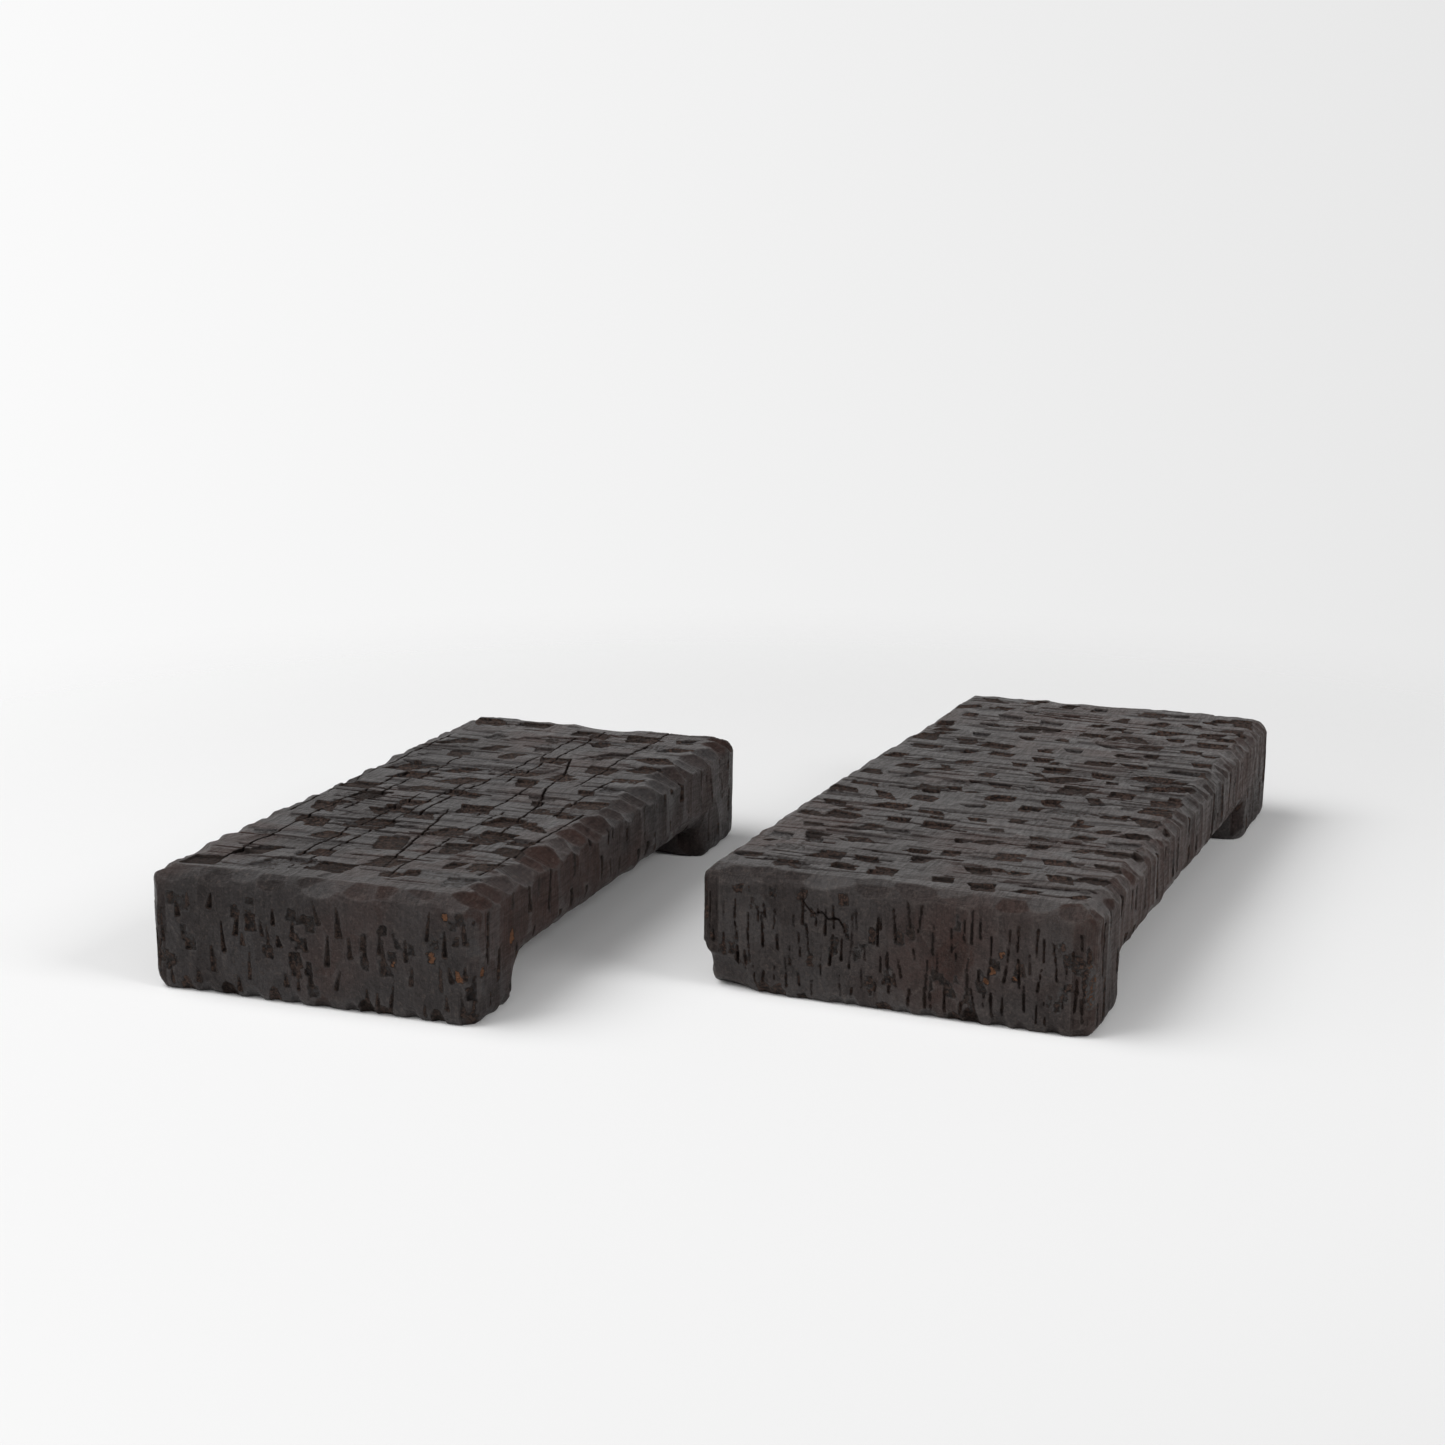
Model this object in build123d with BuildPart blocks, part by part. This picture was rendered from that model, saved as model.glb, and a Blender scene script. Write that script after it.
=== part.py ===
from build123d import *

import os
from dataclasses import dataclass
from math import cos, radians, sin

# A pair of low display risers, each hewn from one solid block of timber: a thick slab that stands on a
# full-width foot at either end. Millimetres, +Z up, floor at Z = 0. +Y runs along the large riser's
# length, and +X runs across it, from the small riser to the large one. The origin is the middle of the
# pair's footprint, on the floor.


@dataclass
class Riser:
    """The sizes in which one riser differs from the other."""

    length: float
    width: float
    height: float
    front_foot: float  # the foot's length along the riser
    back_foot: float
    clearance: float  # from the floor to the slab's underside
    cut_width: float  # across the riser, so the width of the chisel
    cut_length: float
    cut_step: float  # from one cut to the next in a row
    row_step: float
    columns: int
    rows: int  # even, so that the staggered rows stay centred
    slot_step: float  # from one upright cut to the next, round the walls


large = Riser(
    length=561.0,
    width=244.0,
    height=76.0,
    front_foot=68.0,
    back_foot=96.0,
    clearance=27.0,
    cut_width=16.0,
    cut_length=14.0,
    cut_step=31.0,
    row_step=30.0,
    columns=7,
    rows=18,
    slot_step=18.0,
)
small = Riser(
    length=456.0,
    width=217.0,
    height=76.0,
    front_foot=60.0,
    back_foot=72.0,
    clearance=24.5,
    cut_width=19.0,
    cut_length=17.0,
    cut_step=38.0,
    row_step=31.0,
    columns=5,
    rows=14,
    slot_step=24.0,
)

# How the pair stands
spacing = 90.0  # clear distance between the two, along X
small_ahead = 133.0  # the small riser's front stands this much nearer -Y than the large riser's
small_turn = 3.05  # degrees, anticlockwise seen from above

# Shaping that both share
corner_radius = 12.0  # upright corners
top_radius = 11.0
rim_radius = 6.0  # lower edge, round the feet and along the slab
heel_radius = 9.0  # inner bottom edge of a foot
arch_radius = 13.0  # hollow where a foot runs into the slab

# Chisel cuts
cut_depth = 2.5
cut_lean = 30.0  # degrees that a cut's walls lean back
slot_width = 8.0  # an upright cut in a wall
slot_length = 22.0
slot_row_step = 27.0  # between the two rows on an end wall


def turned_half_size(size, turn):
    """Half the extent along X and along Y of a riser's round-cornered outline, turned about Z."""
    across = size.width / 2 - corner_radius
    along = size.length / 2 - corner_radius
    c = cos(radians(turn))
    s = sin(radians(turn))
    return across * c + along * s + corner_radius, across * s + along * c + corner_radius


def hewn_riser(size, base):
    """One riser that stands on the base plane, centred on its origin, its front towards the plane's -Y."""
    half_width = size.width / 2
    half_length = size.length / 2
    heel = size.front_foot - half_length
    toe = half_length - size.back_foot
    side = Plane(base.location * Rot(Y=90) * Rot(Z=90))
    into_top = Plane(base.location * Pos(0, 0, size.height) * Rot(X=180))
    slab_middle = (size.clearance + size.height) / 2
    foot_row = slab_middle - slot_row_step

    def on_rim(edge):
        middle = base.to_local_coords(edge.center())
        at_side = abs(middle.X) > half_width - corner_radius
        at_end = abs(middle.Y) > half_length - corner_radius
        return middle.Z <= size.clearance and (at_side or at_end)

    with BuildPart() as riser:
        with BuildSketch(base):
            RectangleRounded(size.width, size.length, corner_radius)
        extrude(amount=size.height)
        fillet(riser.faces().sort_by(Axis.Z)[-1].edges(), top_radius)

        # The hollow between the feet, seen from the side and drawn down past the floor, so that the
        # corners where it leaves the floor round the feet's inner edges
        with BuildSketch(side) as hollow:
            with BuildLine():
                Polyline(
                    (heel - 2 * heel_radius, 0),
                    (heel, 0),
                    (heel, size.clearance),
                    (toe, size.clearance),
                    (toe, 0),
                    (toe + 2 * heel_radius, 0),
                    (toe + 2 * heel_radius, -heel_radius),
                    (heel - 2 * heel_radius, -heel_radius),
                    close=True,
                )
            make_face()
            fillet(hollow.vertices().group_by(Axis.Y)[-1], arch_radius)
            fillet(hollow.vertices().group_by(Axis.Y)[1].sort_by(Axis.X)[1:3], heel_radius)
        extrude(amount=size.width, both=True, mode=Mode.SUBTRACT)
        fillet(riser.edges().filter_by(on_rim), rim_radius)

        # Cuts in the top, in staggered rows: each row is half a step from the one before it
        with BuildSketch(into_top):
            for columns, rows in (
                (size.columns, size.rows // 2),
                (size.columns - 1, size.rows // 2 - 1),
            ):
                with GridLocations(size.cut_step, 2 * size.row_step, columns, rows):
                    Rectangle(size.cut_width, size.cut_length)
        extrude(amount=cut_depth, taper=cut_lean, mode=Mode.SUBTRACT)

        # Upright cuts round the walls: one row along the slab, and a second one low on each end
        for turn, reach, run, height in (
            (0, half_length, size.width, slab_middle),
            (0, half_length, size.width - size.slot_step, foot_row),
            (90, half_width, size.length, slab_middle),
            (180, half_length, size.width, slab_middle),
            (180, half_length, size.width - size.slot_step, foot_row),
            (270, half_width, size.length, slab_middle),
        ):
            into_wall = Plane(base.location * Rot(Z=turn) * Pos(0, -reach, height) * Rot(X=-90))
            slots = int((run - 2 * corner_radius) // size.slot_step)
            with BuildSketch(into_wall):
                with GridLocations(size.slot_step, 0, slots, 1):
                    Rectangle(slot_width, slot_length)
            extrude(amount=cut_depth, taper=cut_lean, mode=Mode.SUBTRACT)
    return riser


small_half_x, small_half_y = turned_half_size(small, small_turn)
pair_width = 2 * small_half_x + spacing + large.width
pair_depth = small_ahead + large.length

large_base = Plane(origin=((pair_width - large.width) / 2, (pair_depth - large.length) / 2, 0))
small_base = Plane(
    origin=(small_half_x - pair_width / 2, small_half_y - pair_depth / 2, 0),
    x_dir=(cos(radians(small_turn)), sin(radians(small_turn)), 0),
    z_dir=(0, 0, 1),
)

large_riser = hewn_riser(large, large_base)
small_riser = hewn_riser(small, small_base)

os.makedirs("parts", exist_ok=True)

large_riser.part.label = "large_riser"
export_step(large_riser.part, "parts/large_riser.step")

small_riser.part.label = "small_riser"
export_step(small_riser.part, "parts/small_riser.step")
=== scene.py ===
from dataclasses import dataclass
from itertools import product
from math import cos, radians, sin

import bpy
import numpy as np
from mathutils import Matrix, Vector


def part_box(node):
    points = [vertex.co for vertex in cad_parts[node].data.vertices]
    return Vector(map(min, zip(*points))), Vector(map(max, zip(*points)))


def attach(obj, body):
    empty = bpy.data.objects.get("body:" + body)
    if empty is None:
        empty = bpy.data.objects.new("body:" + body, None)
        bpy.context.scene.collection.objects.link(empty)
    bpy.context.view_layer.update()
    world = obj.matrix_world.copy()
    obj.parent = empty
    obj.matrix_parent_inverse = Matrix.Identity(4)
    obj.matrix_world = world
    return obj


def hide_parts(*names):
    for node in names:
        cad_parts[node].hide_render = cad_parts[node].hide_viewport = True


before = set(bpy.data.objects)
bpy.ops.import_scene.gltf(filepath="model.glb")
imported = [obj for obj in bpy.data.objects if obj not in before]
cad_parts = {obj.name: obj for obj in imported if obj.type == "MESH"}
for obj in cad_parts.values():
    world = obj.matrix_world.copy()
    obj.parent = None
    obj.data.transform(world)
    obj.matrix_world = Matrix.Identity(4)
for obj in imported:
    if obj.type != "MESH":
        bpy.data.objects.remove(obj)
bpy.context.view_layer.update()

# Two low display risers, each hewn from a solid block of dark-stained timber. Each CAD solid is replaced by
# a block that is carved here, cut by cut, as the real one was. Carving is in millimetres, in a riser's own
# frame: X across it, Y along it towards its back, Z up, from the middle of its footprint on the floor.

MM = 0.001
GRID_STEP = 0.85  # mm between the grid points on which the timber is carved
GRID_MARGIN = 5.0  # mm of air round the block

CORNER_RADIUS = 10.5
WASTE = 1.5  # wood outside the finished size, which the cuts take off
SUNK = 0.8  # how far the feet start below the floor, to which they are worn flat
ARCH_RADIUS = 13.0
RIM_SOFTNESS = 15.0  # how widely the hollow's edges are rounded
ROLL = 0.41  # how far in from its square edge a rounded edge lies, as a share of the radius
SNAP = 6.0  # a blow lands only where the surface is within this distance
END_BORDER = 13.5  # how far in from the block's ends the cuts in the top are centred, at the least
STAB_INSET = (6.0, 10.0)  # how far inside an end's edges its stabs are centred, across and up
STAB_DROP = 4.0  # how much lower than the middle of an end its stabs are centred
WANDER = 0.6  # how far a split's points stray
RELIEF_REACH = 3.2  # how widely the surface is averaged to tell ridges from hollows
FIELD_LIMIT = 8.0  # a longer distance from the surface counts as this one in the averages
SLICE_REACH = (30.0, 12.0)  # how far a slice over an edge can reach, along it and out of it
SLICE_CURVE = 0.004  # how fast a slice bends away along its length, in mm per square mm
BAKE_GAP = 12.0  # mm between two faces in the texture layout

# Rows of dents round the lower edges and the corners: spacing, width, length and depth
LOW_SIDE_ROW = (16, 15, 18, 1.5)
LOW_END_ROW = (15.5, 11, 15, 1.9)
SLAB_ROW = (18, 20, 16, 1.2)
CORNER_ROW = (16, 13, 32, 1.3)

X, Y, Z = np.eye(3)


@dataclass
class Style:
    """What differs between the two risers, beyond the sizes that the CAD solids give. Millimetres; a pair of
    sizes is across a cut and along it. A row of slices along an edge is given as its spacing, the slices'
    width and depth, how far they face away from straight up, and how far they slant, in degrees."""

    seed: int
    front_foot: float
    back_foot: float
    clearance: float
    shaving: tuple  # thin slices taken off the top
    shaving_step: tuple
    pit: tuple  # deep cuts in the top
    pit_step: tuple
    scores: int  # thin cuts across the top
    border: float  # how far in from the long sides the cuts in the top are centred, at the least
    long_edges: tuple  # rows of slices along the long top edges
    short_edges: tuple  # rows of slices along the top edges of the ends
    rib: tuple  # spacing, width, length and depth of the upright dents in the long sides
    slot: tuple  # torn cuts in the long sides
    slot_step: tuple
    slot_depth: float
    slit: tuple  # width, length and depth of the narrow stabs in the ends
    slit_step: tuple
    slit_point: float  # how far a slit narrows towards its upper end
    slit_shade: float
    patch: tuple  # torn patches in the ends
    patch_step: tuple
    cracks: int
    brown: float  # how brown the stain is, from 0 to 1


STYLES = {
    "large_riser": Style(
        seed=11,
        front_foot=68.0,
        back_foot=96.0,
        clearance=27.0,
        shaving=(50.0, 15.0),
        shaving_step=(44.0, 13.0),
        pit=(16.0, 13.5),
        pit_step=(32.0, 29.0),
        scores=230,
        border=16.0,
        long_edges=((14, 15.5, 3.0, 45, 6), (24, 24, 1.8, 28, 6), (43, 32, 3.4, 40, 8)),
        short_edges=((30, 26, 2.7, 42, 10), (24, 18, 1.2, 27, 10)),
        rib=(13.0, 16.0, 90.0, 1.4),
        slot=(4.5, 24.0),
        slot_step=(24.0, 34.0),
        slot_depth=1.2,
        slit=(0.7, 15.0, 2.2),
        slit_step=(7.5, 17.0),
        slit_point=0.2,
        slit_shade=0.9,
        patch=(4.5, 8.0),
        patch_step=(30.0, 25.0),
        cracks=0,
        brown=0.75,
    ),
    "small_riser": Style(
        seed=23,
        front_foot=60.0,
        back_foot=72.0,
        clearance=24.5,
        shaving=(50.0, 20.0),
        shaving_step=(44.0, 17.0),
        pit=(20.0, 19.0),
        pit_step=(38.0, 33.0),
        scores=180,
        border=25.0,
        long_edges=((21, 23, 5.2, 27, 20), (23, 20, 3.0, 50, 12)),
        short_edges=((29, 25, 2.4, 42, 10), (24, 18, 1.2, 27, 10)),
        rib=(24.0, 27.0, 60.0, 1.0),
        slot=(2.6, 18.0),
        slot_step=(22.0, 25.0),
        slot_depth=0.5,
        slit=(3.2, 15.0, 1.5),
        slit_step=(14.0, 18.0),
        slit_point=1.0,
        slit_shade=0.2,
        patch=(6.5, 8.0),
        patch_step=(33.0, 25.0),
        cracks=12,
        brown=0.3,
    ),
}

# Features that only one riser has, in millimetres from the middle of the named face. A bare spot is given
# as its place and its size, and a split as the points along it, its half width and its depth.
BARE_SPOTS = {
    "large_riser": (
        ("front", 67, 6, 4),
        ("front", 62, -3, 5),
        ("front", 59, -10, 4),
        ("front", 75, -7, 3),
    ),
    "small_riser": (
        ("front", 81, 2, 7),
        ("front", 90, 28, 5),
        ("front", 98, -7, 8),
        ("front", 56, -4, 6),
        ("right", -178, 4, 9),
        ("right", -219, -6, 6),
    ),
}
SPLITS = {
    "large_riser": (
        ("front", ((-57, 26), (-49, 17), (-44, 19), (-40, 15), (-33, 16), (-29, 11), (-28, 6)), 0.4, 2.0),
    ),
    "small_riser": (
        ("top", ((22, 118), (35, 72), (40, 30), (53, -18), (57, -62), (62, -96)), 0.5, 4.0),
        ("top", ((52, 0), (54, -14), (56, -26)), 0.6, 5.0),
        ("top", ((4, -45), (11, -78), (18, -130), (26, -180)), 0.5, 4.0),
    ),
}


def unit(vector):
    return vector / np.linalg.norm(vector)


def turned(vector, axis, degrees):
    """A vector turned about a unit axis that is square to it."""
    a = radians(degrees)
    return vector * cos(a) + np.cross(axis, vector) * sin(a)


@dataclass
class Face:
    """A flat region of the block: its middle, its two directions, the way it faces and its extent."""

    middle: np.ndarray
    across: np.ndarray
    along: np.ndarray
    out: np.ndarray
    size: tuple

    def at(self, u, v):
        return self.middle + self.across * u + self.along * v


class Timber:
    """A block of timber on a grid of points.

    solid is the distance to the surface, negative inside the wood. The other fields say what each bit of
    surface is like: torn is 1 where a chip broke away and 0 where the chisel sliced, shade is how dark the
    stain lies in it, and bare is 1 where the stain missed the wood.
    """

    def __init__(self, size, step, seed):
        self.size = np.array(size)
        self.step = step
        self.rng = np.random.default_rng(seed)
        self.low = np.array([-size[0] / 2, -size[1] / 2, 0.0]) - GRID_MARGIN
        high = np.array([size[0] / 2, size[1] / 2, size[2]]) + GRID_MARGIN
        counts = np.ceil((high - self.low) / step).astype(int) + 1
        self.axes = [low + step * np.arange(n) for low, n in zip(self.low, counts)]
        self.solid = np.zeros(counts, np.float32)
        self.torn = np.zeros(counts, np.float32)
        self.shade = np.full(counts, 0.6, np.float32)
        self.bare = np.zeros(counts, np.float32)
        self.fibres = 0.6 * self.lumps((2.2, 9.0, 2.2)) + 0.6 * self.lumps((1.7, 2.6, 1.7))
        self.knots = self.lumps((6.5, 6.5, 6.5))

    def lumps(self, size):
        """Smooth random values on the grid, between -1 and 1, whose lumps measure size."""
        counts = [int((axis[-1] - axis[0]) / s) + 3 for axis, s in zip(self.axes, size)]
        values = self.rng.uniform(-1, 1, counts).astype(np.float32)
        for k, (axis, s) in enumerate(zip(self.axes, size)):
            at = (axis - axis[0]) / s
            cell = at.astype(int)
            shape = [1, 1, 1]
            shape[k] = -1
            t = (at - cell).astype(np.float32).reshape(shape)
            t = t * t * (3 - 2 * t)
            values = np.take(values, cell, k) * (1 - t) + np.take(values, cell + 1, k) * t
        return values

    def shape_block(self, style):
        """The block before carving: a slab on two feet, its edges softened and its faces a little uneven."""
        x, y, z = np.meshgrid(*[a.astype(np.float32) for a in self.axes], indexing="ij", sparse=True)
        width, length, height = self.size
        half = np.array([width / 2, length / 2, (height + SUNK) / 2]) - CORNER_RADIUS + WASTE
        box = rounded(
            (np.abs(x) - half[0], np.abs(y) - half[1], np.abs(z - (height - SUNK) / 2) - half[2]),
            CORNER_RADIUS,
        )
        heel = style.front_foot - length / 2
        toe = length / 2 - style.back_foot
        hollow = rounded(
            (
                np.abs(y - (heel + toe) / 2) - (toe - heel) / 2 + ARCH_RADIUS,
                z - style.clearance + ARCH_RADIUS,
            ),
            ARCH_RADIUS,
        )
        solid = soft_max(box, -hollow, RIM_SOFTNESS)
        solid += 1.2 * self.lumps((60, 75, 60)) + 0.4 * self.lumps((17, 24, 17))
        self.block = solid
        self.solid = solid + 0.15 * self.fibres

    def window(self, centre, reach):
        """The grid round a point: its slices, and its points' offsets from that point."""
        slices, offsets = [], []
        for k in range(3):
            start = max(int((centre[k] - reach[k] - self.low[k]) / self.step), 0)
            stop = max(int((centre[k] + reach[k] - self.low[k]) / self.step) + 2, start)
            shape = [1, 1, 1]
            shape[k] = -1
            slices.append(slice(start, stop))
            offsets.append((self.axes[k][start:stop] - centre[k]).astype(np.float32).reshape(shape))
        return tuple(slices), offsets

    def remove(self, where, tool, torn, shade, bare=0.0):
        """Takes away what is inside the tool, and marks the surface that it leaves."""
        solid = self.solid[where]
        fresh = -tool > solid
        self.torn[where][fresh] = torn
        self.shade[where][fresh] = shade
        self.bare[where][fresh] = bare
        np.maximum(solid, -tool, out=solid)

    def skin(self, place, out, solid=None):
        """Where the surface is, in or out from a place, or None if there is no wood there."""
        solid = self.solid if solid is None else solid
        index = np.round((place - self.low) / self.step).astype(int)
        gap = solid[tuple(np.clip(index, 0, np.array(solid.shape) - 1))]
        return None if abs(gap) > SNAP else place - out * gap

    def vary(self, value, share=0.25):
        return value * self.rng.uniform(1 - share, 1 + share)

    def local(self, place, along, out, reach):
        """The grid round a place on the surface, in the directions of a cut: its slices, and its points'
        offsets across, along and out."""
        across = np.cross(along, out)
        reach = sum(np.abs(axis) * r for axis, r in zip((across, along, out), reach))
        where, offsets = self.window(place, reach)
        return where, [sum(o * d for o, d in zip(offsets, axis)) for axis in (across, along, out)]

    def chop(
        self, place, along, out, width, length, depth,
        point=0.0, skew=0.0, start=0.4, torn=1.0, rough=None, shade=0.5, bare=0.0,
    ):
        """One blow of a chisel. It runs in along the wood from a shallow start, and the chip breaks off at a
        steep wall. point narrows the cut towards its start, skew slants its sides, and rough is how ragged
        its edges are, which is as torn as its floor unless it is given."""
        rough = torn if rough is None else rough
        place = self.skin(place, out)
        if place is None:
            return
        reach = (width / 2 + 4 + abs(skew) * length / 2, length / 2 + 4, depth + 5)
        where, (u, v, w) = self.local(place, along, out, reach)
        ragged = rough * (0.9 * self.fibres[where] + 1.4 * self.knots[where])
        ramp = np.clip(0.5 - v / length, 0, 1)
        floor = -depth * (1 - (1 - start) * ramp) + 0.75 * rough * self.fibres[where]
        half = width / 2 * (1 - point * ramp) + 0.35 * w + ragged
        tool = np.maximum(np.abs(u - skew * v) - half, floor - w)
        tool = np.maximum(tool, np.abs(v) - length / 2 - 0.3 * w - 0.6 * ragged)
        self.remove(where, tool, torn, shade, bare)

    def dent(self, place, along, out, width, length, depth, drop=8.0, torn=0.0, shade=0.5, bare=0.0):
        """A shallow hollow that follows the surface, as a gouge rolled over it leaves. It has a crisp rim.
        drop is how far the surface falls away within the dent's length."""
        place = self.skin(place, out)
        if place is None:
            return
        where, (u, v, w) = self.local(place, along, out, (width / 2, length / 2, drop))
        profile = 1 - (2 * u / width) ** 2 - (2 * v / length) ** 2
        hollow = self.block[where] + depth * profile + 0.6 * torn * self.fibres[where]
        self.remove(where, np.where(profile > 0, -hollow, 1.0), torn, shade, bare)

    def facet(self, place, along, out, width, depth, shade=0.5):
        """One slice of a gouge over an edge: straight along the cut and a little hollow across it."""
        place = self.skin(place, out, self.block)
        if place is None:
            return
        where, (u, v, w) = self.local(place, along, out, (width * 0.6, *SLICE_REACH))
        floor = depth * ((2 * u / width) ** 2 - 1) + SLICE_CURVE * v * v
        self.remove(where, floor - w, 0.05, shade)

    def crack(self, points, out, half_width, depth):
        """A split that the wood opened along a line of points as it dried."""
        for a, b in zip(points[:-1], points[1:]):
            run = b - a
            length = np.linalg.norm(run)
            along = run / length
            across = np.cross(along, out)
            middle = self.skin((a + b) / 2, out)
            if middle is None:
                continue
            reach = np.abs(run) / 2 + np.abs(across) * 3 + np.abs(out) * (depth + 3) + 1
            where, offsets = self.window(middle, reach)
            u, v, w = (sum(o * d for o, d in zip(offsets, axis)) for axis in (across, along, out))
            beyond = np.maximum(np.abs(v) - length / 2, 0)
            half = half_width * (1 + np.minimum(w, 0) / depth)
            tool = np.maximum(np.sqrt(u * u + beyond * beyond) - half, -depth - w)
            self.remove(where, tool, 1.0, 1.0)


def rounded(q, radius):
    """The distance to a box with rounded edges, from the distances past its inner faces."""
    outside = np.sqrt(sum(np.maximum(d, 0) ** 2 for d in q))
    inside = np.minimum(np.maximum(np.maximum(q[0], q[1]), q[-1]), 0)
    return outside + inside - radius


def soft_max(a, b, softness):
    overlap = np.maximum(softness - np.abs(a - b), 0) / softness
    return np.maximum(a, b) + overlap * overlap * softness / 4


def block_faces(timber, style):
    """The flat regions of the block that take chisel work."""
    width, length, height = timber.size
    slab_middle = (style.clearance + height) / 2
    gap = length - style.front_foot - style.back_foot
    gap_middle = (style.front_foot - style.back_foot) / 2
    feet = {"front": (-1, style.front_foot), "back": (1, style.back_foot)}
    faces = {
        "top": Face(Z * height, X, Y, Z, (width, length)),
        "front": Face(Z * height / 2 - Y * length / 2, X, Z, -Y, (width, height)),
        "back": Face(Z * height / 2 + Y * length / 2, -X, Z, Y, (width, height)),
        "right": Face(Z * height / 2 + X * width / 2, Y, Z, X, (length, height)),
        "left": Face(Z * height / 2 - X * width / 2, -Y, Z, -X, (length, height)),
        "under": Face(Z * style.clearance + Y * gap_middle, X, -Y, -Z, (width, gap)),
    }
    for name, (side, foot) in feet.items():
        inner = side * (length / 2 - foot)
        faces[name + "_sole"] = Face(Y * (inner + side * foot / 2), X, -Y, -Z, (width, foot))
        faces[name + "_heel"] = Face(
            Y * inner + Z * style.clearance / 2, -side * X, Z, -side * Y, (width, style.clearance)
        )
    return faces


def staggered(rng, face, step, stray=0.25):
    """Places over a face in staggered rows, each a little astray, in random order."""
    rows = max(round(face.size[1] / step[1]), 1)
    columns = max(round(face.size[0] / step[0]), 1)
    places = []
    for row in range(rows):
        for column in range(columns + 1):
            u = (column + 0.5 * (row % 2)) * face.size[0] / columns - face.size[0] / 2
            v = (row + 0.5) * face.size[1] / rows - face.size[1] / 2
            u += rng.uniform(-stray, stray) * step[0]
            v += rng.uniform(-stray, stray) * step[1]
            places.append((u, v))
    edge = np.array(face.size) / 2
    return [tuple(np.clip(places[i], -edge, edge)) for i in rng.permutation(len(places))]


def shave_top(timber, top, style):
    """Thin slices that leave the lands between the cuts, each at a slight tilt to its neighbours."""
    rng, vary = timber.rng, timber.vary
    for u, v in staggered(rng, top, style.shaving_step, 0.4):
        along = turned(top.along, top.out, rng.normal(0, 3)) * rng.choice([-1, 1], p=[0.3, 0.7])
        timber.chop(
            top.at(u, v), along, top.out,
            vary(style.shaving[0], 0.4), vary(style.shaving[1]), vary(0.75, 0.5),
            skew=rng.normal(0, 0.25), start=0.0, torn=rng.choice([0.05, 0.22], p=[0.8, 0.2]),
            shade=rng.uniform(0, 0.8),
        )


def dent_face(timber, face, step, size, stain=(0.5, 0.8)):
    """Broad dents all over a face, which leave it faceted."""
    rng, vary = timber.rng, timber.vary
    for u, v in staggered(rng, face, step, 0.35):
        timber.dent(
            face.at(u, v), turned(face.along, face.out, rng.normal(0, 5)), face.out,
            vary(size[0]), vary(size[1]), vary(size[2], 0.4),
            torn=rng.uniform(0, 0.15), shade=rng.uniform(*stain),
        )


def dent_edge(timber, middle, run, out, span, row, torn_share=0.1, upright=False):
    """A row of dents over an edge. They cross it, or run along it if they are upright."""
    rng, vary = timber.rng, timber.vary
    spacing, width, length, depth = row
    count = max(round(span / spacing), 1)
    for k in range(count):
        place = middle + run * (((k + 0.5) / count - 0.5) * span + rng.normal(0, 0.15) * spacing)
        along = turned(run if upright else np.cross(out, run), out, rng.normal(0, 7))
        timber.dent(
            place - out * CORNER_RADIUS * ROLL, along, out,
            vary(width), vary(length), vary(depth, 0.35),
            drop=8 if upright else length / 2 + 3,
            torn=0.7 if rng.random() < torn_share else rng.uniform(0, 0.15),
            shade=rng.uniform(0, 1),
        )


def slice_edge(timber, middle, run, wall, span, row, share=1.0):
    """A row of slices along a top edge, each at a slant of its own. wall is the way the wall below faces."""
    rng, vary = timber.rng, timber.vary
    spacing, width, depth, tilt, slant = row
    count = max(round(span / spacing), 1)
    for k in range(count):
        place = middle + run * (((k + 0.5) / count - 0.5) * span + rng.normal(0, 0.12) * spacing)
        angle = radians(rng.normal(tilt, 4))
        out = Z * cos(angle) + wall * sin(angle)
        along = turned(np.cross(out, run), out, rng.normal(slant * np.sign(wall.sum()), 7))
        timber.facet(place, along, out, vary(width, 0.2), vary(depth, 0.3) * share, rng.uniform(0.2, 1.1))


def soften_edges(timber, style):
    """Slices along the block's top edges, and dents round its other edges, which leave them wavy."""
    width, length, height = timber.size
    gap = length - style.front_foot - style.back_foot
    gap_middle = Y * (style.front_foot - style.back_foot) / 2
    for side in (-1, 1):
        wall, end = X * side * width / 2, Y * side * length / 2
        for row in style.long_edges:
            slice_edge(timber, Z * height + wall, Y, X * side, length, row, 1.0 if side > 0 else 0.6)
        for row in style.short_edges:
            slice_edge(timber, Z * height + end, X, Y * side, width, row)
        low_side, low_end = unit(X * side - Z), unit(Y * side - Z)
        dent_edge(timber, wall, Y, low_side, length, LOW_SIDE_ROW)
        dent_edge(timber, end, X, low_end, width, LOW_END_ROW, torn_share=0.4)
        dent_edge(timber, Z * style.clearance + wall + gap_middle, Y, low_side, gap, SLAB_ROW)
        for other in (-1, 1):
            corner = wall + Y * other * length / 2 + Z * height / 2
            outward = unit(X * side + Y * other)
            dent_edge(timber, corner, Z, outward, height - 14, CORNER_ROW, upright=True)


def work_sides(timber, faces, style):
    """Upright dents and torn slots in the long sides."""
    rng, vary = timber.rng, timber.vary
    for name in ("left", "right"):
        face = faces[name]
        spacing, *rib = style.rib
        dent_face(timber, face, (spacing, face.size[1] * 0.6), rib, (0.75, 1.2))
        for u, v in staggered(rng, face, style.slot_step, 0.4):
            along = turned(face.along, face.out, rng.normal(0, 4)) * rng.choice([-1, 1])
            timber.chop(
                face.at(u, v), along, face.out, vary(style.slot[0], 0.5), vary(style.slot[1], 0.5),
                vary(style.slot_depth, 0.4), point=rng.uniform(0, 0.6), start=rng.uniform(0, 0.3),
                torn=rng.uniform(0.5, 1), shade=rng.uniform(0, 0.4),
            )


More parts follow.
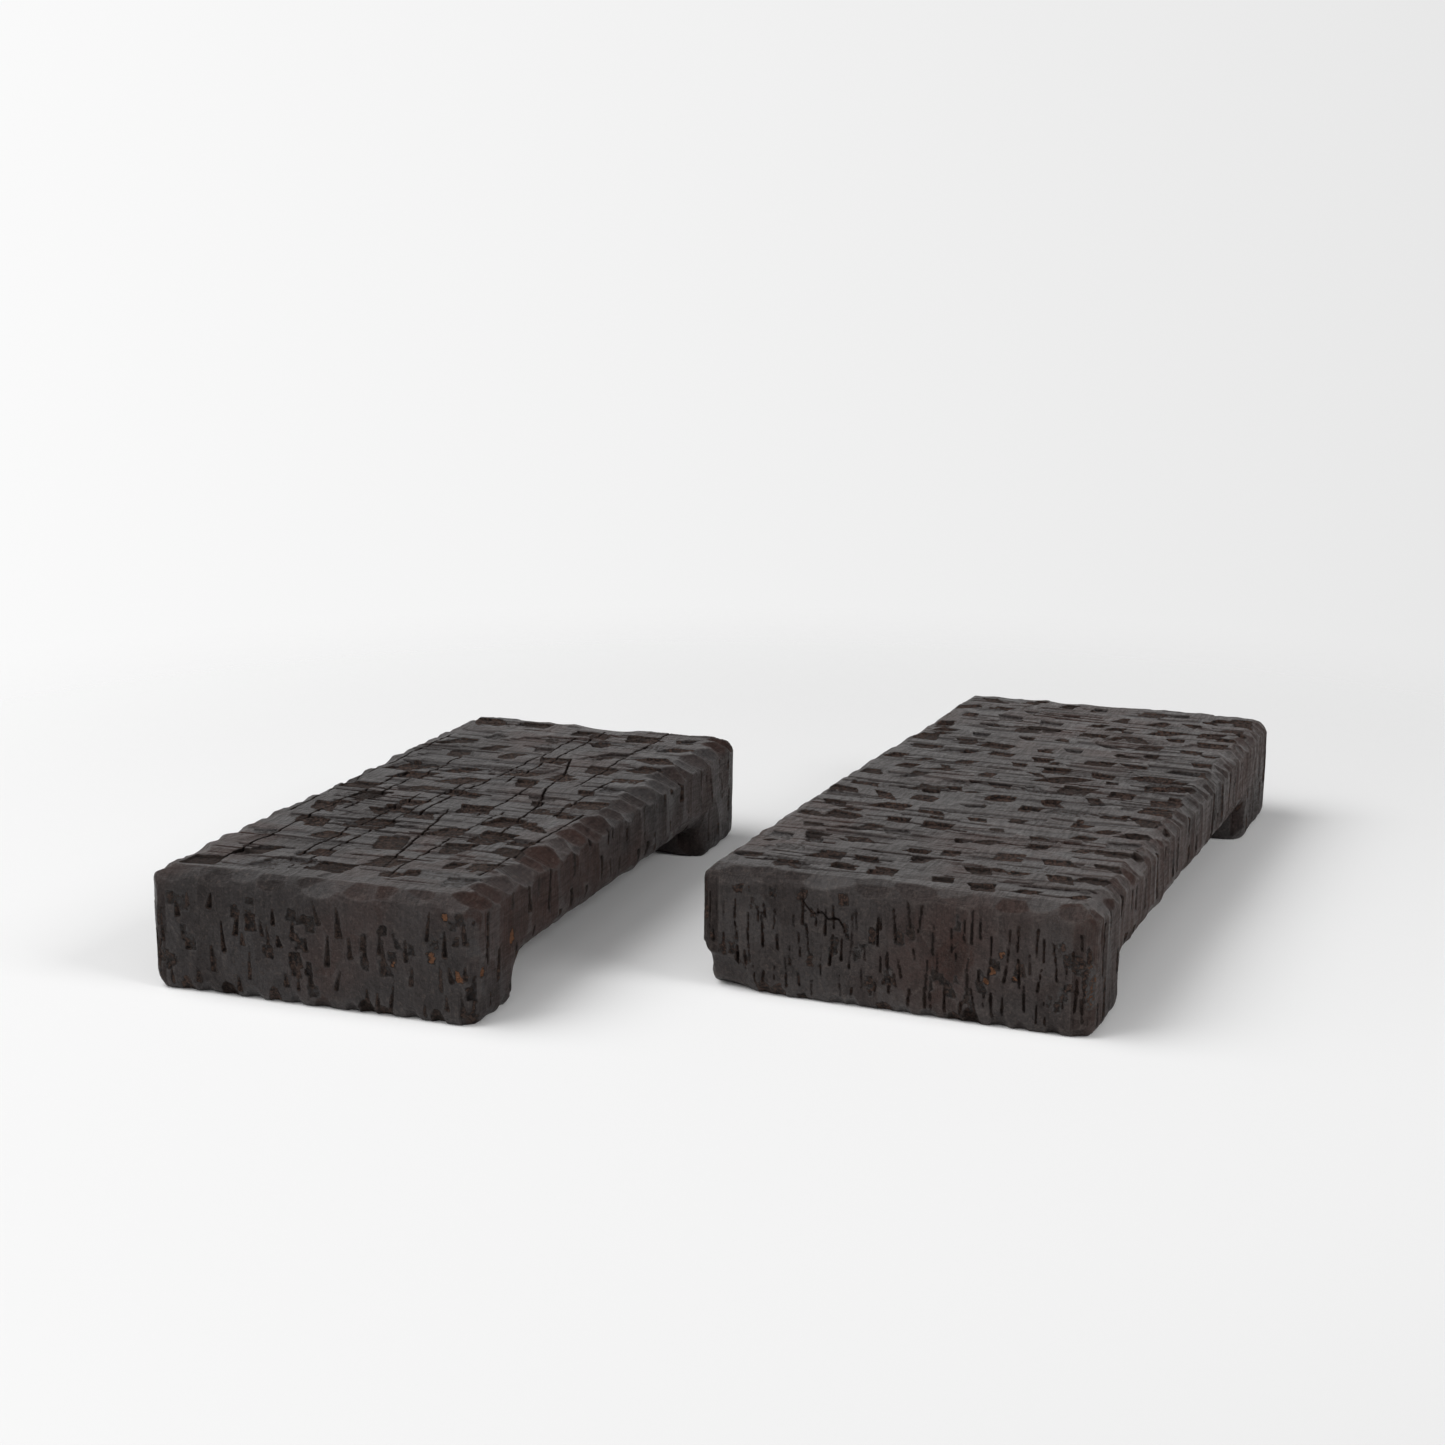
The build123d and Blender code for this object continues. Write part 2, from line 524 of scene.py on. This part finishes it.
def work_ends(timber, faces, style):
    """Torn patches and narrow slits in the ends."""
    rng, vary = timber.rng, timber.vary
    for name in ("front", "back"):
        face = faces[name]
        dent_face(timber, face, (24, 30), (28, 38, 0.9), (0.45, 0.75))
        size = tuple(s - 2 * inset for s, inset in zip(face.size, STAB_INSET))
        stabbed = Face(face.middle, face.across, face.along, face.out, size)
        for u, v in staggered(rng, stabbed, style.patch_step, 0.5):
            for _ in range(rng.integers(1, 6)):
                timber.chop(
                    face.at(u + rng.normal(0, 6), v + rng.normal(0, 5)), -face.along, face.out,
                    vary(style.patch[0], 0.4), vary(style.patch[1], 0.4), vary(0.75, 0.4),
                    point=rng.uniform(0, 0.4), skew=rng.normal(0, 0.2), start=rng.uniform(0.2, 0.8),
                    torn=rng.uniform(0.3, 0.7), rough=1.0, shade=rng.uniform(0, 0.25),
                )
        for u, v in staggered(rng, stabbed, style.slit_step, 0.45):
            timber.chop(
                face.at(u, v - STAB_DROP), -turned(face.along, face.out, rng.normal(0, 5)), face.out,
                vary(style.slit[0], 0.3), vary(style.slit[1], 0.5), vary(style.slit[2], 0.4),
                point=style.slit_point, skew=rng.normal(0, 0.04), start=0.15,
                rough=0.12, shade=vary(style.slit_shade, 0.1),
            )


def cut_top(timber, top, style):
    """The deep cuts that cover the top, and the thin scores between them."""
    rng, vary = timber.rng, timber.vary
    for u, v in staggered(rng, top, style.pit_step, 0.24):
        for blow in range(rng.choice([1, 2], p=[0.6, 0.4])):
            along = turned(top.along, top.out, rng.normal(0, 7)) * rng.choice([-1, 1], p=[0.25, 0.75])
            size = vary(1, 0.3) * (0.65 if blow else 1)
            timber.chop(
                top.at(u + blow * rng.normal(0, 8), v + blow * rng.normal(0, 6)), along, top.out,
                vary(style.pit[0] * size, 0.3), vary(style.pit[1] * size), vary(1.9, 0.35),
                point=rng.uniform(-0.2, 0.5), skew=rng.normal(0, 0.35), start=rng.uniform(0.1, 0.7),
                torn=rng.choice([0.3, 0.7, 1.0], p=[0.15, 0.25, 0.6]), shade=rng.uniform(0, 0.55),
            )
    for _ in range(style.scores):
        along = turned(top.along, top.out, rng.normal(0, 3)) * rng.choice([-1, 1])
        timber.chop(
            top.at(*(rng.uniform(-0.49, 0.49, 2) * top.size)), along, top.out,
            rng.uniform(12, 60), rng.uniform(1.2, 2.8), rng.uniform(0.5, 1.3),
            skew=rng.normal(0, 0.5), start=0.2, torn=0.25, shade=rng.uniform(0.4, 1),
        )


def open_cracks(timber, faces, style):
    """Fine drying cracks at random along the top."""
    rng = timber.rng
    top = faces["top"]
    width, length = top.size
    for k in range(style.cracks):
        u = ((k + rng.uniform(0.2, 0.8)) / style.cracks - 0.5) * 0.92 * width
        v = rng.uniform(-0.48, 0.2) * length
        points = []
        for _ in range(rng.integers(10, 28)):
            points.append(top.at(u, v))
            u += rng.normal(0.2, 0.8)
            v += rng.uniform(8, 13)
        points = [p for p in points if abs(p[1]) < length / 2]
        if len(points) > 1:
            timber.crack(points, top.out, rng.uniform(0.42, 0.55), rng.uniform(2, 3.5))


def hew(timber, style, name):
    """Carves the whole block."""
    rng = timber.rng
    faces = block_faces(timber, style)
    width, length, height = timber.size
    timber.shape_block(style)
    soften_edges(timber, style)
    for below in ("under", "front_heel", "back_heel"):
        dent_face(timber, faces[below], (30, 34), (32, 38, 1.0))
    work_sides(timber, faces, style)
    work_ends(timber, faces, style)
    top = Face(Z * height, X, Y, Z, (width - 2 * style.border, length - 2 * END_BORDER))
    shave_top(timber, top, style)
    cut_top(timber, top, style)
    open_cracks(timber, faces, style)
    for face_name, line, half_width, depth in SPLITS[name]:
        face = faces[face_name]
        wander = [face.at(u + rng.normal(0, WANDER), v) for u, v in line]
        timber.crack(wander, face.out, half_width, depth)
    for face_name, u, v, across in BARE_SPOTS[name]:
        face = faces[face_name]
        timber.chop(
            face.at(u, v), -face.along, face.out, across * 0.6, across * 0.9, 1.3,
            torn=1.0, rough=1.2, shade=0.0, bare=1.0,
        )
    if name == "large_riser":
        # Its lower front left corner is worn away, and its front right corner is rubbed to pale wood.
        worn = -X * (width / 2 - 8) - Y * (length / 2 - 3) + Z * 3
        timber.dent(worn, X, unit(-Y - Z * 1.6), 30, 64, 7, drop=20, torn=0.1, shade=0.6)
        rubbed = X * (width / 2 - 3) - Y * (length / 2 - 3) + Z * height * 0.4
        timber.dent(rubbed, Z, unit(X - Y), 12, 42, 2.4, torn=0.3, shade=0.0, bare=0.5)
    else:
        # Its top sags a little in the middle of the back edge.
        dip = Y * (length / 2 - 3) + X * 8 + Z * (height - 3)
        timber.dent(dip, X, unit(Y + Z), 40, 60, 3.5, shade=0.4)
    # The feet are flat where they stand on the floor.
    np.maximum(timber.solid, -timber.axes[2].astype(np.float32)[None, None, :], out=timber.solid)


def smoothed(field, reach):
    """A field averaged over a cube that reaches so many grid points each way."""
    for axis in range(3):
        total = field.copy()
        for k in range(1, reach + 1):
            total += np.roll(field, k, axis) + np.roll(field, -k, axis)
        field = total / (2 * reach + 1)
    return field


def surface_net(timber):
    """The surface of the wood: one point in each grid cell that it passes through, and one quad round each
    grid edge that it crosses. Returns the points, the quads and the cells."""
    solid = timber.solid
    inside = solid < 0
    shape = np.array(solid.shape) - 1
    corners = np.zeros(shape, np.uint8)
    for i, j, k in product((0, 1), repeat=3):
        corners += inside[i : shape[0] + i, j : shape[1] + j, k : shape[2] + k]
    crossed = (corners > 0) & (corners < 8)
    cells = np.argwhere(crossed)
    number = np.full(shape, -1, np.int32)
    number[crossed] = np.arange(len(cells), dtype=np.int32)

    total = np.zeros((len(cells), 3))
    count = np.zeros((len(cells), 1))
    quads = []
    for axis in range(3):
        step = np.eye(3, dtype=int)[axis]
        side, other = np.eye(3, dtype=int)[(axis + 1) % 3], np.eye(3, dtype=int)[(axis + 2) % 3]
        for shift in (0 * side, side, other, side + other):
            start = cells + shift
            a = solid[tuple(start.T)]
            b = solid[tuple((start + step).T)]
            crosses = (a < 0) != (b < 0)
            share = np.where(crosses, a / np.where(crosses, a - b, 1), 0)
            total += np.where(crosses[:, None], start + share[:, None] * step, 0)
            count += crosses[:, None]
        first = np.moveaxis(inside, axis, 0)
        changed = np.argwhere(np.moveaxis(first[:-1] != first[1:], 0, axis))
        ring = [number[tuple((changed - back).T)] for back in (side + other, other, 0 * side, side)]
        quad = np.stack(ring, 1)
        leaving = inside[tuple(changed.T)]
        quads.append(np.where(leaving[:, None], quad, quad[:, ::-1]))
    return timber.low + timber.step * total / count, np.concatenate(quads), cells


def cell_mean(field, cells):
    """A field's mean over the eight corners of each cell."""
    return sum(field[tuple((cells + c).T)] for c in product((0, 1), repeat=3)) / 8


def bake_layout(points, quads, timber, style):
    """Texture coordinates that lay the block's faces side by side, each seen square on."""
    centres = points[quads].mean(1)
    normals = np.cross(points[quads[:, 2]] - points[quads[:, 0]], points[quads[:, 3]] - points[quads[:, 1]])
    faces = block_faces(timber, style)
    names = list(faces)
    nearness = []
    for face in faces.values():
        offset = centres - face.middle
        past_side = np.abs(offset @ face.across) - face.size[0] / 2
        past_end = np.abs(offset @ face.along) - face.size[1] / 2
        beside = np.maximum(np.maximum(past_side, past_end), 0)
        facing = normals @ face.out / np.maximum(np.linalg.norm(normals, axis=1), 1e-9)
        nearness.append(np.abs(offset @ face.out) + 2 * beside - 3 * facing)
    owner = np.argmin(nearness, 0)
    pad = BAKE_GAP
    uv = np.zeros((len(quads), 4, 2))
    places = {}
    order = ["top", "under", "front_sole", "back_sole", "left", "right"]
    order += ["front", "back", "front_heel", "back_heel"]
    at = np.array([pad, pad])
    shelf = 0.0
    sheet = 1.12 * np.sqrt(sum((f.size[0] + pad) * (f.size[1] + pad) for f in faces.values())) + 60
    for name in sorted(order, key=lambda n: -max(faces[n].size)):
        size = np.array(faces[name].size)
        upright = size[1] >= size[0]
        box = size if upright else size[::-1]
        if at[0] + box[0] + pad > sheet:
            at = np.array([pad, at[1] + shelf + pad])
            shelf = 0.0
        places[name] = (at.copy(), upright)
        at[0] += box[0] + pad
        shelf = max(shelf, box[1])
    for k, name in enumerate(names):
        mine = owner == k
        face = faces[name]
        corner, upright = places[name]
        offset = points[quads[mine]] - face.middle
        u = offset @ face.across + face.size[0] / 2
        v = offset @ face.along + face.size[1] / 2
        pair = (u, v) if upright else (v, face.size[0] - u)
        uv[mine] = corner + np.stack(pair, -1)
    return uv / max(sheet, at[1] + shelf + pad)


def riser_frame(node):
    """A riser's size in millimetres and its place in the frame, from the smallest box round its node."""
    coords = np.empty(len(node.data.vertices) * 3)
    node.data.vertices.foreach_get("co", coords)
    coords = coords.reshape(-1, 3)
    best = None
    for degrees in np.arange(-8, 8.001, 0.05):
        a = radians(degrees)
        across = coords[:, 0] * cos(a) + coords[:, 1] * sin(a)
        along = coords[:, 1] * cos(a) - coords[:, 0] * sin(a)
        area = np.ptp(across) * np.ptp(along)
        if best is None or area < best[0]:
            best = area, a, across, along
    _, a, across, along = best
    u, v = (across.max() + across.min()) / 2, (along.max() + along.min()) / 2
    size = np.array([np.ptp(across), np.ptp(along), np.ptp(coords[:, 2])]) / MM
    middle = Vector((u * cos(a) - v * sin(a), u * sin(a) + v * cos(a), 0))
    return size, Matrix.Translation(middle) @ Matrix.Rotation(a, 4, "Z")


def mesh_object(name, points, quads, fields, uv):
    """A smooth-shaded mesh from arrays, with its fields as point attributes."""
    mesh = bpy.data.meshes.new(name)
    mesh.vertices.add(len(points))
    mesh.vertices.foreach_set("co", (points * MM).astype(np.float32).ravel())
    mesh.loops.add(quads.size)
    mesh.loops.foreach_set("vertex_index", quads.astype(np.int32).ravel())
    mesh.polygons.add(len(quads))
    mesh.polygons.foreach_set("loop_start", np.arange(0, quads.size, 4, dtype=np.int32))
    mesh.polygons.foreach_set("use_smooth", np.ones(len(quads), bool))
    mesh.update(calc_edges=True)
    for field, values in fields.items():
        attribute = mesh.attributes.new(field, "FLOAT", "POINT")
        attribute.data.foreach_set("value", values.astype(np.float32))
    layer = mesh.uv_layers.new(name="OFBake")
    layer.uv.foreach_set("vector", uv.astype(np.float32).ravel())
    obj = bpy.data.objects.new(name, mesh)
    bpy.context.scene.collection.objects.link(obj)
    return obj


# Materials


class Nodes:
    """Short calls for building the node tree of a material or a world."""

    def __init__(self, owner):
        owner.use_nodes = True
        self.tree = owner.node_tree
        self.tree.nodes.clear()

    def add(self, kind, inputs=None, **settings):
        node = self.tree.nodes.new("ShaderNode" + kind)
        for key, value in settings.items():
            setattr(node, key, value)
        for key, value in (inputs or {}).items():
            self.feed(node.inputs[key], value)
        return node

    def feed(self, socket, value):
        if isinstance(value, bpy.types.NodeSocket):
            self.tree.links.new(value, socket)
        else:
            socket.default_value = value

    def math(self, operation, *values):
        return self.add("Math", dict(enumerate(values)), operation=operation).outputs[0]

    def attribute(self, name):
        return self.add("Attribute", attribute_name=name).outputs["Fac"]

    def noise(self, coords, scale, detail=3.0, roughness=0.55, distortion=0.0):
        """Noise stretched by a scale for each axis, in lumps per metre."""
        stretched = self.add("VectorMath", {0: coords, 1: scale}, operation="MULTIPLY").outputs[0]
        inputs = {
            "Vector": stretched,
            "Scale": 1.0,
            "Detail": detail,
            "Roughness": roughness,
            "Distortion": distortion,
        }
        return self.add("TexNoise", inputs).outputs["Fac"]

    def remap(self, value, low, high, to_low=0.0, to_high=1.0):
        return self.add(
            "MapRange",
            {"Value": value, "From Min": low, "From Max": high, "To Min": to_low, "To Max": to_high},
            interpolation_type="SMOOTHSTEP",
        ).outputs[0]

    def mix(self, share, a, b):
        return self.add("Mix", {0: share, 6: a, 7: b}, data_type="RGBA").outputs[2]


def srgb(r, g, b):
    """A colour given as 0 to 255 on a screen."""
    linear = [((c / 255 + 0.055) / 1.055) ** 2.4 if c > 10 else c / 255 / 12.92 for c in (r, g, b)]
    return (*linear, 1.0)


def blended(a, b, share):
    return tuple(p * (1 - share) + q * share for p, q in zip(a, b))


def timber_material(name, brown):
    """Charcoal stain on open-grained wood: satin on sliced wood, dull and red-brown on torn wood."""
    material = bpy.data.materials.new(name)
    n = Nodes(material)
    coords = n.add("TexCoord").outputs["Object"]
    torn, shade = n.attribute("torn"), n.attribute("shade")
    relief, crease, bare = n.attribute("relief"), n.attribute("crease"), n.attribute("bare")

    fibre = n.noise(coords, (560, 60, 560), 5, 0.65)
    fleck = n.noise(coords, (430, 300, 430), 5, 0.75)
    cloud = n.noise(coords, (16, 10, 16), 3)
    combed = n.noise(coords, (40, 620, 40), 3, 0.6, 0.5)
    upright = n.noise(coords, (420, 30, 45), 3, 0.6, 0.3)
    stipple = n.noise(coords, (210, 150, 210), 4, 0.7)

    thin = blended(srgb(42, 39, 40), srgb(68, 64, 63), brown)
    thick = blended(srgb(41, 34, 32), srgb(53, 42, 39), brown)
    uneven = n.math("ADD", shade, n.remap(cloud, 0.3, 0.7, -0.2, 0.3))
    warm = n.remap(n.noise(coords, (9, 7, 9), 2), 0.42, 0.6)
    thick = n.mix(warm, blended(thick, srgb(46, 44, 44), 0.6), blended(thick, srgb(62, 43, 38), 0.5))
    land = n.mix(n.remap(uneven, 0, 1.1), thin, thick)
    for streaks, share in ((fibre, 0.35), (combed, 0.3), (upright, 0.25), (stipple, 0.25)):
        land = n.mix(n.math("MULTIPLY", n.remap(streaks, 0.5, 0.62), share), land, srgb(22, 18, 17))
    land = n.mix(n.math("MULTIPLY", n.remap(fleck, 0.52, 0.64), 0.3), land, srgb(90, 80, 75))

    raw = blended(srgb(78, 62, 54), srgb(84, 63, 54), brown)
    floor = n.mix(n.remap(fleck, 0.42, 0.6), srgb(28, 20, 17), raw)
    floor = n.mix(n.remap(cloud, 0.4, 0.7, 0, 0.8), floor, srgb(48, 41, 38))
    floor = n.mix(n.math("MULTIPLY", n.remap(shade, 0.2, 1.0), 0.8), floor, srgb(20, 15, 13))

    frayed = n.math("ADD", torn, n.remap(fleck, 0.3, 0.7, -0.2, 0.2))
    is_torn = n.remap(frayed, 0.2, 0.65)
    colour = n.mix(is_torn, land, floor)
    # Painted shade: the colour is darkened towards near black in hollows and in creases, where shade falls.
    painted_shade_in_hollows = n.math("ADD", n.remap(relief, -0.4, -1.8, 0, 0.4), n.remap(crease, -0.03, -0.18, 0, 0.55))
    colour = n.mix(n.math("MINIMUM", painted_shade_in_hollows, 1), colour, srgb(14, 10, 9))
    # Edge wear and painted highlight: convex edges and raised places are made paler, in broken flecks.
    raised_for_wear_and_highlight = n.math("ADD", n.remap(relief, 0.25, 1.4), n.remap(crease, 0.03, 0.14, 0, 0.5))
    wear_and_highlight_share = n.math("MULTIPLY", n.math("MINIMUM", raised_for_wear_and_highlight, 1), n.remap(fleck, 0.3, 0.6, 0.08, 0.45))
    colour = n.mix(wear_and_highlight_share, colour, blended(srgb(74, 70, 70), srgb(82, 74, 70), brown))
    missed = n.math("ADD", bare, n.remap(fleck, 0.3, 0.7, -0.5, 0.5))
    colour = n.mix(n.remap(missed, 0.45, 0.95), colour, srgb(114, 78, 55))

    dullness = n.math("ADD", n.remap(is_torn, 0, 1, 0.42, 0.9), n.remap(fibre, 0.3, 0.7, -0.06, 0.12))

    grain = n.math("MULTIPLY", fibre, n.remap(is_torn, 0, 1, 0.35, 1.2))
    pitted = n.math("MULTIPLY", fleck, n.remap(is_torn, 0, 1, 0.35, 2.0))
    streaked = n.math("MULTIPLY", n.math("ADD", combed, stipple), -0.4)
    height = n.math("ADD", n.math("ADD", grain, pitted), streaked)
    bump = n.add("Bump", {"Height": height, "Strength": 1.0, "Distance": 0.0018}).outputs[0]

    sheen = n.remap(shade, 0.2, 1, 0.28, 0.06)
    shader = n.add(
        "BsdfPrincipled",
        {"Base Color": colour, "Roughness": dullness, "Normal": bump, "Specular IOR Level": sheen},
    )
    output = n.add("OutputMaterial")
    n.tree.links.new(shader.outputs[0], output.inputs["Surface"])
    return material


def make_riser(node_name, piece_name, body):
    style = STYLES[node_name]
    size, place = riser_frame(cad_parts[node_name])
    timber = Timber(size, GRID_STEP, style.seed)
    hew(timber, style, node_name)
    points, quads, cells = surface_net(timber)
    near = np.clip(timber.solid, -FIELD_LIMIT, FIELD_LIMIT)
    middle = cell_mean(near, cells)
    fields = {
        "torn": cell_mean(timber.torn, cells),
        "shade": cell_mean(timber.shade, cells),
        "bare": cell_mean(timber.bare, cells),
        # relief and crease tell raised places from sunken ones; the material paints shade into the sunken
        # ones and wear and highlight onto the raised ones.
        "relief": cell_mean(smoothed(near, round(RELIEF_REACH / timber.step)), cells) - middle,
        "crease": cell_mean(smoothed(near, 1), cells) - middle,
    }
    riser = mesh_object(piece_name, points, quads, fields, bake_layout(points, quads, timber, style))
    riser.data.materials.append(timber_material(piece_name + "_stain", style.brown))
    riser.matrix_world = place
    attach(riser, body)
    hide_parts(node_name)


make_riser("large_riser", "large_carved_riser", "large_riser")
make_riser("small_riser", "small_carved_riser", "small_riser")


# Floor, background, lights and camera

FLOOR_SIZE = 40.0
FLOOR_GREYS = (249, 247)  # at the left and the right of the picture
BACKGROUND_GREYS = (250, 232)
ROOM = 0.78  # the light from the front of the room
SHEEN = 0.9  # the pale walls as glossy surfaces mirror them
FADE = (0.45, 1.2)  # metres from the middle over which the floor fades into the background
LENS = 58.2  # millimetres, on a 36 mm sensor
CAMERA_ASIDE = 0.5335  # metres to the right of the left side of the large riser's box
CAMERA_AHEAD = 1.2529  # metres in front of the front of that box
CAMERA_HEIGHT = 0.467  # metres above the floor
CAMERA_TURN, CAMERA_DIP, CAMERA_ROLL = 22.53, 12.49, 0.277  # degrees


def window_ramp(n, left, right):
    """A grey that changes from left to right across the picture."""
    across = n.add("SeparateXYZ", {0: n.add("TexCoord").outputs["Window"]}).outputs[0]
    return n.mix(across, srgb(left, left, left), srgb(right, right, right))


def add_floor():
    mesh = bpy.data.meshes.new("floor")
    h = FLOOR_SIZE / 2
    mesh.from_pydata([(-h, -h, 0), (h, -h, 0), (h, h, 0), (-h, h, 0)], [], [(0, 1, 2, 3)])
    floor = bpy.data.objects.new("floor", mesh)
    bpy.context.scene.collection.objects.link(floor)
    material = bpy.data.materials.new("pale_floor")
    n = Nodes(material)
    coords = n.add("TexCoord").outputs["Object"]
    distance = n.add("VectorMath", {0: coords}, operation="LENGTH").outputs["Value"]
    paper = n.add("BsdfDiffuse", {"Color": window_ramp(n, *FLOOR_GREYS)})
    clear = n.add("BsdfTransparent")
    fade = n.add("MixShader", {0: n.remap(distance, *FADE), 1: paper.outputs[0], 2: clear.outputs[0]})
    output = n.add("OutputMaterial")
    n.tree.links.new(fade.outputs[0], output.inputs["Surface"])
    mesh.materials.append(material)


def add_world():
    world = bpy.data.worlds.new("studio")
    bpy.context.scene.world = world
    n = Nodes(world)
    seen = n.add("Background", {"Color": window_ramp(n, *BACKGROUND_GREYS), "Strength": 1.0})
    rays = n.add("LightPath").outputs
    direction = n.add("TexCoord").outputs["Generated"]
    from_front = n.add("VectorMath", {0: direction, 1: (0, -1, 0.2)}, operation="DOT_PRODUCT")
    room = n.remap(from_front.outputs["Value"], -0.1, 0.7, 0.0, ROOM)
    wall = n.remap(from_front.outputs["Value"], 0.8, -0.6, 0.25 * SHEEN, SHEEN)
    strength = n.mix(rays["Is Glossy Ray"], room, wall)
    soft = n.add("Background", {"Color": (1, 1, 1, 1), "Strength": strength})
    both = n.add("MixShader", {0: rays["Is Camera Ray"], 1: soft.outputs[0], 2: seen.outputs[0]})
    output = n.add("OutputWorld")
    n.tree.links.new(both.outputs[0], output.inputs["Surface"])


def add_light(name, place, size, power):
    """A square lamp that faces the middle of the floor."""
    data = bpy.data.lights.new(name, "AREA")
    data.shape = "RECTANGLE"
    data.size, data.size_y = size, size
    data.energy = power
    light = bpy.data.objects.new(name, data)
    light.location = place
    light.rotation_euler = (-Vector(place)).to_track_quat("-Z", "Y").to_euler()
    bpy.context.scene.collection.objects.link(light)
    return light


def add_camera():
    """The camera stands in front of the large riser and to its right, a little above it."""
    low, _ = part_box("large_riser")
    data = bpy.data.cameras.new("camera")
    data.sensor_width = 36.0
    data.lens = LENS
    data.clip_end = 200.0
    camera = bpy.data.objects.new("camera", data)
    camera.location = (low.x + CAMERA_ASIDE, low.y - CAMERA_AHEAD, CAMERA_HEIGHT)
    turn = Matrix.Rotation(radians(CAMERA_TURN), 4, "Z")
    tilt = Matrix.Rotation(radians(90 - CAMERA_DIP), 4, "X")
    roll = Matrix.Rotation(radians(CAMERA_ROLL), 4, "Z")
    camera.rotation_euler = (turn @ tilt @ roll).to_euler()
    bpy.context.scene.collection.objects.link(camera)
    bpy.context.scene.camera = camera


add_floor()
add_world()
add_light("key", (-1.8, -1.0, 2.9), 2.8, 83)
fill = add_light("fill", (2.8, -0.5, 2.0), 1.4, 37)
fill.visible_glossy = False
add_camera()
bpy.context.scene.view_settings.view_transform = "Standard"
